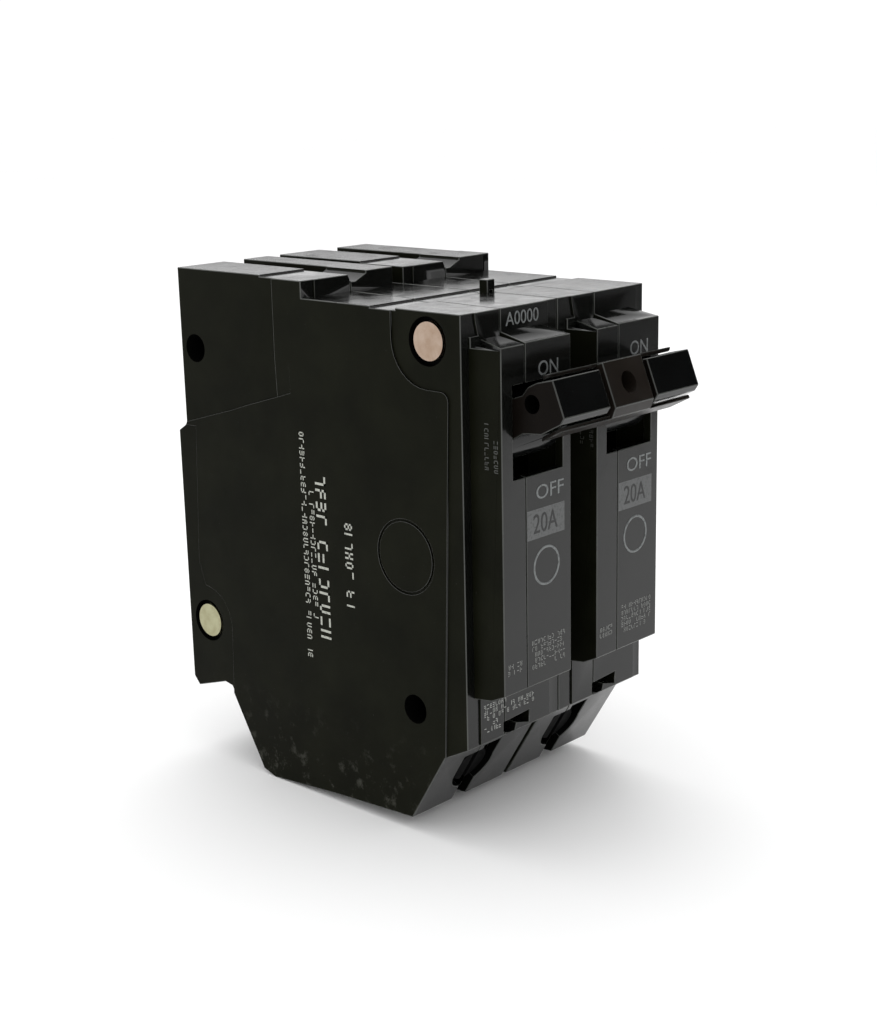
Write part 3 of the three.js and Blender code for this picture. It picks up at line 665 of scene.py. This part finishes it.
class BREAKER_OT_markings(bpy.types.Operator):
    """Position words, rating box, plain ring and rows of fine print, all generic."""

    bl_idname = "breaker.markings"
    bl_label = "Markings"

    def execute(self, context):
        marks = context.scene.breaker_marks
        tall = marks.letter_height / MM
        for n in POLES:
            bezel = front_face(n, BEZEL_Y)
            word(f"on_{n}", "ON", bezel, (14.3, 82.4), (5.2, tall), "letters")
            word(f"off_{n}", "OFF", bezel, (14.6, 61.4), (7.3, tall), "letters")
            plate(f"rating_box_{n}", bezel, (13.5, 56), (10.0, 5.2), "box")
            word(f"rating_{n}", f"{marks.rating}A", bezel, (13.4, 56), (6.4, 3.4), "rating")
            ring(f"ring_{n}", bezel, (13.6, 48.2), 3.3, 0.45, "letters")
            rows = [(9.6, 18.6, 34.6 - 1.1 * k) for k in range(5)]
            scribble(f"bezel_print_{n}", bezel, rows + [(3.3, 6.9, 31.9), (3.2, 7.2, 30.8)],
                     0.85, "fine_print", 4 + n)
        plain = front_face(1, FRONT_Y)
        scribble("front_print", plain, [(4.3, 12, 22.7), (4.3, 18, 21.65), (4.3, 19, 20.6),
                                        (4.3, 9.4, 19.5), (4.3, 9, 18.4)], 0.85, "front_print", 2)
        word("batch_mark", "A0000", plain, (15.5, 90.1), (8.6, 2.3), "letters")
        side = left_face(0)
        scribble("side_print", side, [(25, 68, 32.2), (33, 58, 34.2)], 1.3, "side_print", 9,
                 upright=True)
        scribble("side_code", side, [(29.5, 62, 36.0)], 2.7, "side_print", 5, upright=True)
        scribble("side_class", side, [(37, 54, 43.2)], 2.0, "side_print", 12, upright=True)
        for n in POLES:
            wall = left_face(BEZEL_U + (n - 1) * PITCH_MM)
            scribble(f"wall_print_{n}", wall, [(66.5, 75, 74.9), (66.2, 72, 76.9)], 0.9,
                     "wall_print", 20 + n, upright=True)
        return {"FINISHED"}


class BREAKER_OT_stage(bpy.types.Operator):
    """Pale floor, soft studio light and the camera."""

    bl_idname = "breaker.stage"
    bl_label = "Studio"

    def execute(self, context):
        scene = context.scene
        make_floor()
        make_cards()
        make_lights(scene)
        make_camera(scene)
        return {"FINISHED"}


def make_floor():
    """Large square under the object's lowest point."""
    corners = np.array([(-1, -1, 0), (1, -1, 0), (1, 1, 0), (-1, 1, 0)]) * FLOOR_HALF
    corners[:, 2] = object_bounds()[0][2]
    mesh = bpy.data.meshes.new("floor")
    mesh.from_pydata(corners.tolist(), [], [(0, 1, 2, 3)])
    floor = bpy.data.objects.new("floor", mesh)
    bpy.context.scene.collection.objects.link(floor)
    m = Nodes("pale_floor")
    m.wire(m.ramp(m.noise(6, 2), [(0.3, (0.93, 0.93, 0.93)), (0.7, (0.96, 0.96, 0.96))]),
           m.shader.inputs["Base Color"])
    m.set(Roughness=0.9)
    mesh.materials.append(m.material)
    floor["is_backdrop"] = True


def make_lights(scene):
    world = bpy.data.worlds.new("studio")
    world.use_nodes = True
    world.node_tree.nodes["Background"].inputs["Color"].default_value = (1, 1, 1, 1)
    world.node_tree.nodes["Background"].inputs["Strength"].default_value = 1.07
    scene.world = world
    scene.view_settings.view_transform = "Standard"
    for name, place, size, power in LAMPS:
        lamp = bpy.data.lights.new(name, "AREA")
        lamp.shape = "SQUARE"
        lamp.size = size
        lamp.energy = power
        holder = bpy.data.objects.new(name, lamp)
        holder.location = place
        way = Vector(LAMP_TARGET) - Vector(place)
        holder.rotation_euler = way.to_track_quat("-Z", "Y").to_euler()
        scene.collection.objects.link(holder)
        holder.visible_camera = False
        holder.visible_diffuse = name != "back"


def make_cards():
    """Cards that only reflections see: black for the grips, greys for the upper front and tops.
    Each stands at a bearing (x, y) from the middle, between two heights over the floor."""
    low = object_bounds()[0][2]
    for name, bearing, distance, half, z0, z1, tone in CARDS:
        away = np.array(bearing) * distance
        along = np.array((-bearing[1], bearing[0])) * half
        corners = [(*(away + side * along), low + z)
                   for side, z in ((-1, z0), (1, z0), (1, z1), (-1, z1))]
        mesh = bpy.data.meshes.new(name)
        mesh.from_pydata([tuple(map(float, c)) for c in corners], [], [(0, 1, 2, 3)])
        card = bpy.data.objects.new(name, mesh)
        bpy.context.scene.collection.objects.link(card)
        m = Nodes(name + "_felt")
        m.wire(m.ramp(m.noise(30, 3), [(0.3, (tone * 0.8,) * 3), (0.7, (tone * 1.2,) * 3)]),
               m.shader.inputs["Base Color"])
        m.set(Roughness=0.95, Specular_IOR_Level=0.1)
        mesh.materials.append(m.material)
        card.visible_camera = False
        card.visible_diffuse = False
        card.visible_shadow = False
        card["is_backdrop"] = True


def make_camera(scene):
    stage = scene.breaker_stage
    target = Vector(CAMERA_TARGET) * MM
    a, e = stage.azimuth, stage.elevation
    back = Vector((math.sin(a) * math.cos(e), -math.cos(a) * math.cos(e), math.sin(e)))
    right = (-back).cross(Vector((0, 0, 1))).normalized()
    up = right.cross(-back)
    c, s = math.cos(stage.roll), math.sin(stage.roll)
    turned = Matrix((c * right + s * up, -s * right + c * up, back)).transposed()
    camera_data = bpy.data.cameras.new("camera")
    camera_data.sensor_fit = "AUTO"
    camera_data.sensor_width = 36
    camera_data.lens = stage.lens
    camera_data.clip_start = 0.01
    camera = bpy.data.objects.new("camera", camera_data)
    camera.matrix_world = Matrix.Translation(target + back * stage.distance) @ turned.to_4x4()
    scene.collection.objects.link(camera)
    scene.camera = camera


OPERATORS = (BREAKER_OT_case, BREAKER_OT_handle, BREAKER_OT_rivets, BREAKER_OT_terminals,
             BREAKER_OT_mechanism, BREAKER_OT_markings, BREAKER_OT_stage)


class BREAKER_PT_panel(bpy.types.Panel):
    """Lists the pieces and their settings."""

    bl_label = "Breaker"
    bl_idname = "BREAKER_PT_panel"
    bl_space_type = "VIEW_3D"
    bl_region_type = "UI"
    bl_category = "Breaker"

    def draw(self, context):
        for name in SETTINGS:
            group = getattr(context.scene, name)
            for key in group.bl_rna.properties.keys():
                if key not in ("rna_type", "name"):
                    self.layout.prop(group, key)
        for operator in OPERATORS:
            self.layout.operator(operator.bl_idname)


SETTINGS = {
    "breaker_case": BreakerCaseSettings,
    "breaker_handle": BreakerHandleSettings,
    "breaker_marks": BreakerMarkSettings,
    "breaker_stage": BreakerStageSettings,
}
CLASSES = (*SETTINGS.values(), *OPERATORS, BREAKER_PT_panel)


def register():
    for cls in CLASSES:
        bpy.utils.register_class(cls)
    for name, cls in SETTINGS.items():
        setattr(bpy.types.Scene, name, PointerProperty(type=cls))


def unregister():
    for name in SETTINGS:
        delattr(bpy.types.Scene, name)
    for cls in reversed(CLASSES):
        bpy.utils.unregister_class(cls)


def run(operator):
    area, name = operator.bl_idname.split(".")
    getattr(getattr(bpy.ops, area), name)()


def main():
    register()
    make_materials(bpy.context.scene)
    for operator in OPERATORS:
        run(operator)


if __name__ == "__main__":
    main()
